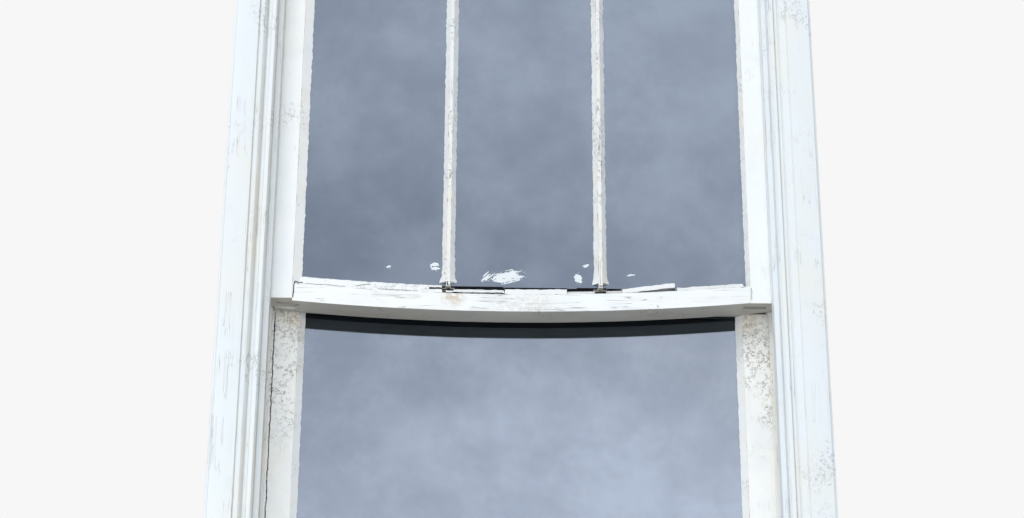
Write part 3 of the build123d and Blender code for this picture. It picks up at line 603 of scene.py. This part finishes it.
def makeSmears(look, patches):
    whole = bmesh.new()
    for number, patch in enumerate(patches):
        bm = bmesh.new()
        reachX, reachZ = (r * look["margin"] for r in patch["reach"])
        bmesh.ops.create_grid(bm, x_segments=int(2 * reachX / look["grid"]),
                              y_segments=int(2 * reachZ / look["grid"]), size=1)
        bmesh.ops.scale(bm, vec=(reachX, reachZ, 1), verts=bm.verts)
        holes = []
        for face in bm.faces:
            spot = face.calc_center_median()
            x = spot.x / patch["reach"][0]
            z = (spot.y - patch["lean"] * spot.x * 0.5) / patch["reach"][1]
            streak = noise.noise(Vector((spot.x * 70, (spot.y - patch["lean"] * spot.x) * 420, number * 7.3)))
            fine = noise.noise(Vector((spot.x * 300, spot.y * 700, number * 3.1)))
            if look["body"] - x * x - z * z + patch["ragged"] * (streak * 0.8 + fine * 0.4) < look["cut"]:
                holes.append(face)
        bmesh.ops.delete(bm, geom=holes, context="FACES")
        bmesh.ops.smooth_vert(bm, verts=bm.verts, factor=0.5, use_axis_x=True, use_axis_y=True,
                              use_axis_z=False)
        bmesh.ops.rotate(bm, cent=(0, 0, 0), matrix=Matrix.Rotation(math.radians(90), 3, "X"), verts=bm.verts)
        bmesh.ops.translate(bm, vec=(patch["centre"][0], look["glassY"], patch["centre"][1]), verts=bm.verts)
        skin = bmesh.ops.extrude_face_region(bm, geom=bm.faces[:])["geom"]
        skin = [g for g in skin if isinstance(g, bmesh.types.BMVert)]
        bmesh.ops.translate(bm, vec=(0, -look["thick"], 0), verts=skin)
        mesh = bpy.data.meshes.new("patch")
        bm.to_mesh(mesh)
        bm.free()
        whole.from_mesh(mesh)
        bpy.data.meshes.remove(mesh)
    bmesh.ops.recalc_face_normals(whole, faces=whole.faces)
    piece = makePiece(whole, "paintSmears", (smearPaint,), "upper_sash")


makeSmears(smearLook, smears)
print("smears dabbed")


# Metals
def agedMetal(name, colour, dark, metallic, rough, pits=0.0004):
    t = Tree(name)
    plain = t.place()
    spots = t.noise(plain, 140, 7, 0.65)
    broad = t.noise(plain, 25, 4)
    tone = t.mix(t.ramp(spots, 0.42, 0.68), colour, dark)
    tone = t.mix(t.times(t.ramp(broad, 0.45, 0.7), 0.5), tone, dark)
    uneven = t.ramp(spots, 0.3, 0.7, rough, rough + 0.25)
    return t.finish(Base_Color=tone, Metallic=metallic, Roughness=uneven, Normal=t.bump(spots, pits, 0.5))


castIron = agedMetal("castIron", (0.15, 0.135, 0.125), (0.10, 0.055, 0.03), 0.4, 0.6, 0.0008)
wheelIron = agedMetal("wheelIron", (0.24, 0.22, 0.21), (0.12, 0.08, 0.06), 0.8, 0.4)
dullBrass = agedMetal("dullBrass", (0.58, 0.44, 0.22), (0.28, 0.19, 0.09), 1.0, 0.3, 0.0002)
chainSteel = agedMetal("chainSteel", (0.44, 0.42, 0.39), (0.20, 0.13, 0.08), 1.0, 0.35, 0.0002)
metalLooks = {
    "cast_iron": {"finish": castIron, "soften": 0.0008},
    "wheel_iron": {"finish": wheelIron, "soften": 0.0005},
    "pulley_brass": {"finish": dullBrass, "soften": 0.0004},
    "brass": {"finish": dullBrass, "soften": 0.0008},
}
# The lock keeper, seen through the gap under the upper pane, is darkened to brown-black as painted shade
paintedOver = agedMetal("paintedOver", (0.13, 0.11, 0.085), (0.05, 0.045, 0.04), 0.3, 0.6, 0.0003)
for name in sorted(nodes):
    if slotOf[name] in metalLooks:
        look = metalLooks[slotOf[name]]
        finish = paintedOver if name == "lock_keeper" else look["finish"]
        bm = copyNode(name)
        soften(bm, look["soften"], 2, 30)
        standFor(makePiece(bm, camel(name), (finish,), bodyOf[name], 28), name)
print("metal dressed")

# Sash chains: riveted plate links from the sash, over the wheel and down to the weight
chainLook = {
    "pitch": 0.012,
    "radius": 0.0235,       # of the links' middle line on the wheel
    "fixing": 0.380,        # below the top of the sash
    "plate": 0.0009,        # a link plate's thickness
    "tall": 0.003,          # and its width
    "rounded": 0.42,        # how much of its width each corner loses
    "rivet": 0.0011,
    "rivetHeads": 0.0018,
    "inner": 0.0016,        # from the middle to the inner plates, and to the outer ones
    "outer": 0.0027,
    "intoWeight": 0.002,
    "anchor": {"size": (0.012, 0.0075, 0.012), "out": 0.0055, "drop": 0.003, "soften": 0.0012},
}


def makeLink(look, half):
    bm = bmesh.new()
    length = look["pitch"] + look["tall"]
    for way in (-1, 1):
        plate = bmesh.ops.create_cube(bm, size=1)["verts"]
        bmesh.ops.scale(bm, vec=(look["tall"], look["plate"], length), verts=plate)
        bmesh.ops.translate(bm, vec=(0, way * half, look["pitch"] / 2), verts=plate)
        edges = dict.fromkeys(e for v in plate for e in v.link_edges)
        ends = [e for e in edges if abs(e.verts[0].co.y - e.verts[1].co.y) > look["plate"] / 2]
        bmesh.ops.bevel(bm, geom=ends, offset=look["tall"] * look["rounded"], offset_type="OFFSET",
                        segments=2, profile=0.5, affect="EDGES", material=-1)
    rivet = bmesh.ops.create_cone(bm, cap_ends=True, segments=8, radius1=look["rivet"], radius2=look["rivet"],
                                  depth=2 * look["outer"] + look["rivetHeads"])["verts"]
    bmesh.ops.rotate(bm, cent=(0, 0, 0), matrix=Matrix.Rotation(math.radians(90), 3, "X"), verts=rivet)
    mesh = bpy.data.meshes.new("link")
    bm.to_mesh(mesh)
    bm.free()
    return mesh


# A point s metres along a chain: up from the sash, half round the wheel, down to the weight
def pathPoint(s, side, y, wheel, look, low):
    r = look["radius"]
    rise = wheel.z - low
    if s < rise:
        return Vector((wheel.x - side * r, y, low + s))
    if s < rise + math.pi * r:
        turn = (s - rise) / r
        return Vector((wheel.x - side * r * math.cos(turn), y, wheel.z + r * math.sin(turn)))
    return Vector((wheel.x + side * r, y, wheel.z - (s - rise - math.pi * r)))


def makeChain(sash, sideName, look):
    side = 1 if sideName == "right" else -1
    name = f"{sash}_chain_{sideName}"
    wheelLow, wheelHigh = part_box(f"{sash}_pulley_wheel_{sideName}")
    wheel = (wheelLow + wheelHigh) / 2
    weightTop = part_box(f"{sash}_weight_{sideName}")[1].z
    topNode = "upper_sash_top_rail" if sash == "upper" else "lower_sash_check_rail"
    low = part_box(topNode)[1].z - look["fixing"]
    total = wheel.z - low + math.pi * look["radius"] + wheel.z - weightTop + look["intoWeight"]
    count = round(total / look["pitch"])
    half = round((wheel.z - low + math.pi * look["radius"] / 2) / look["pitch"])
    links = [makeLink(look, look["inner"]), makeLink(look, look["outer"])]
    parts = {"Sash": (0, half), "Weight": (half, count)}
    for part, (first, last) in parts.items():
        bm = bmesh.new()
        for k in range(first, last):
            start = pathPoint(k * total / count, side, wheel.y, wheel, look, low)
            end = pathPoint((k + 1) * total / count, side, wheel.y, wheel, look, low)
            along = (end - start).normalized()
            across = Vector((0, 1, 0))
            turn = Matrix((across.cross(along), across, along)).transposed().to_4x4()
            before = len(bm.verts)
            bm.from_mesh(links[k % 2])
            bm.verts.ensure_lookup_table()
            bmesh.ops.transform(bm, matrix=Matrix.Translation(start) @ turn, verts=bm.verts[before:])
        if part == "Sash":
            anchor = look["anchor"]
            spot = (wheel.x - side * (look["radius"] + anchor["out"]), wheel.y, low - anchor["drop"])
            block = bmesh.ops.create_cube(bm, size=1)["verts"]
            bmesh.ops.scale(bm, vec=anchor["size"], verts=block)
            bmesh.ops.translate(bm, vec=spot, verts=block)
            corners = list(dict.fromkeys(e for v in block for e in v.link_edges))
            bmesh.ops.bevel(bm, geom=corners, offset=anchor["soften"], offset_type="OFFSET", segments=2,
                            profile=0.5, affect="EDGES", material=-1)
        piece = makePiece(bm, f"{sash}Chain{part}Side{sideName.capitalize()}", (chainSteel,))
        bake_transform(piece)
        standFor(piece, name)
    for mesh in links:
        bpy.data.meshes.remove(mesh)


for sash in ("upper", "lower"):
    for sideName in ("left", "right"):
        makeChain(sash, sideName, chainLook)
print("chains linked")

# Floor and light
floorSetup = {"radius": 1.45, "solid": 0.95, "colour": (0.80, 0.80, 0.79)}


def makeFloor(setup):
    bm = bmesh.new()
    bmesh.ops.create_circle(bm, cap_ends=True, radius=setup["radius"], segments=96)
    mesh = bpy.data.meshes.new("floor")
    bm.to_mesh(mesh)
    bm.free()
    floor = bpy.data.objects.new("floor", mesh)
    bpy.context.scene.collection.objects.link(floor)
    t = Tree("floorPaint")
    reach = t.add("VectorMath", {0: t.place()}, operation="LENGTH").outputs["Value"]
    alpha = t.ramp(reach, setup["solid"], setup["radius"], 1, 0)
    mesh.materials.append(t.finish(Base_Color=(*setup["colour"], 1), Roughness=0.9, Alpha=alpha))


makeFloor(floorSetup)

worldSetup = {
    "background": (0.93, 0.93, 0.93),       # what the camera, glass and metal see
    "sky": (0.74, 0.79, 0.85),              # what lights the window, from above and from below
    "ground": (0.39, 0.38, 0.36),
    "horizon": 0.35,
}


def makeWorld(setup):
    world = bpy.data.worlds.new("studio")
    bpy.context.scene.world = world
    world.use_nodes = True
    tree = world.node_tree
    tree.nodes.clear()
    add, link = tree.nodes.new, tree.links.new
    place = add("ShaderNodeTexCoord")
    split = add("ShaderNodeSeparateXYZ")
    link(place.outputs["Generated"], split.inputs[0])
    rise = add("ShaderNodeMapRange")
    rise.inputs["From Min"].default_value = -setup["horizon"]
    rise.inputs["From Max"].default_value = setup["horizon"]
    link(split.outputs["Z"], rise.inputs["Value"])
    tone = add("ShaderNodeMix")
    tone.data_type = "RGBA"
    link(rise.outputs[0], tone.inputs["Factor"])
    tone.inputs[6].default_value = (*setup["ground"], 1)
    tone.inputs[7].default_value = (*setup["sky"], 1)
    path = add("ShaderNodeLightPath")
    seen = path.outputs["Is Camera Ray"]
    for ray in ("Is Glossy Ray", "Is Transmission Ray"):
        either = add("ShaderNodeMath")
        either.operation = "MAXIMUM"
        link(seen, either.inputs[0])
        link(path.outputs[ray], either.inputs[1])
        seen = either.outputs[0]
    light = add("ShaderNodeBackground")
    link(tone.outputs[2], light.inputs["Color"])
    shown = add("ShaderNodeBackground")
    shown.inputs["Color"].default_value = (*setup["background"], 1)
    mix = add("ShaderNodeMixShader")
    link(seen, mix.inputs[0])
    link(light.outputs[0], mix.inputs[1])
    link(shown.outputs[0], mix.inputs[2])
    output = add("ShaderNodeOutputWorld")
    link(mix.outputs[0], output.inputs[0])


makeWorld(worldSetup)

lampSetups = [
    {"name": "skyLamp", "place": (-2.8, -3.6, 4.5), "aim": (0, 0, 0.9),
     "size": 2.4, "power": 105, "gloss": False},
    {"name": "frontLamp", "place": (-0.2, -5.0, 1.0), "aim": (0, 0, 0.8),
     "size": 3.2, "power": 72, "gloss": False},
    {"name": "backLamp", "place": (-2.6, 3.4, 4.6), "aim": (0, 0, 0.9),
     "size": 2.4, "power": 95, "gloss": True},
]
for setup in lampSetups:
    data = bpy.data.lights.new(setup["name"], "AREA")
    data.shape = "DISK"
    data.size = setup["size"]
    data.energy = setup["power"]
    lamp = bpy.data.objects.new(setup["name"], data)
    lamp.location = setup["place"]
    towards = Vector(setup["aim"]) - Vector(setup["place"])
    lamp.rotation_euler = towards.to_track_quat("-Z", "Y").to_euler()
    lamp.visible_glossy = setup["gloss"]
    bpy.context.scene.collection.objects.link(lamp)
bpy.context.scene.view_settings.view_transform = "Standard"
print("studio made")
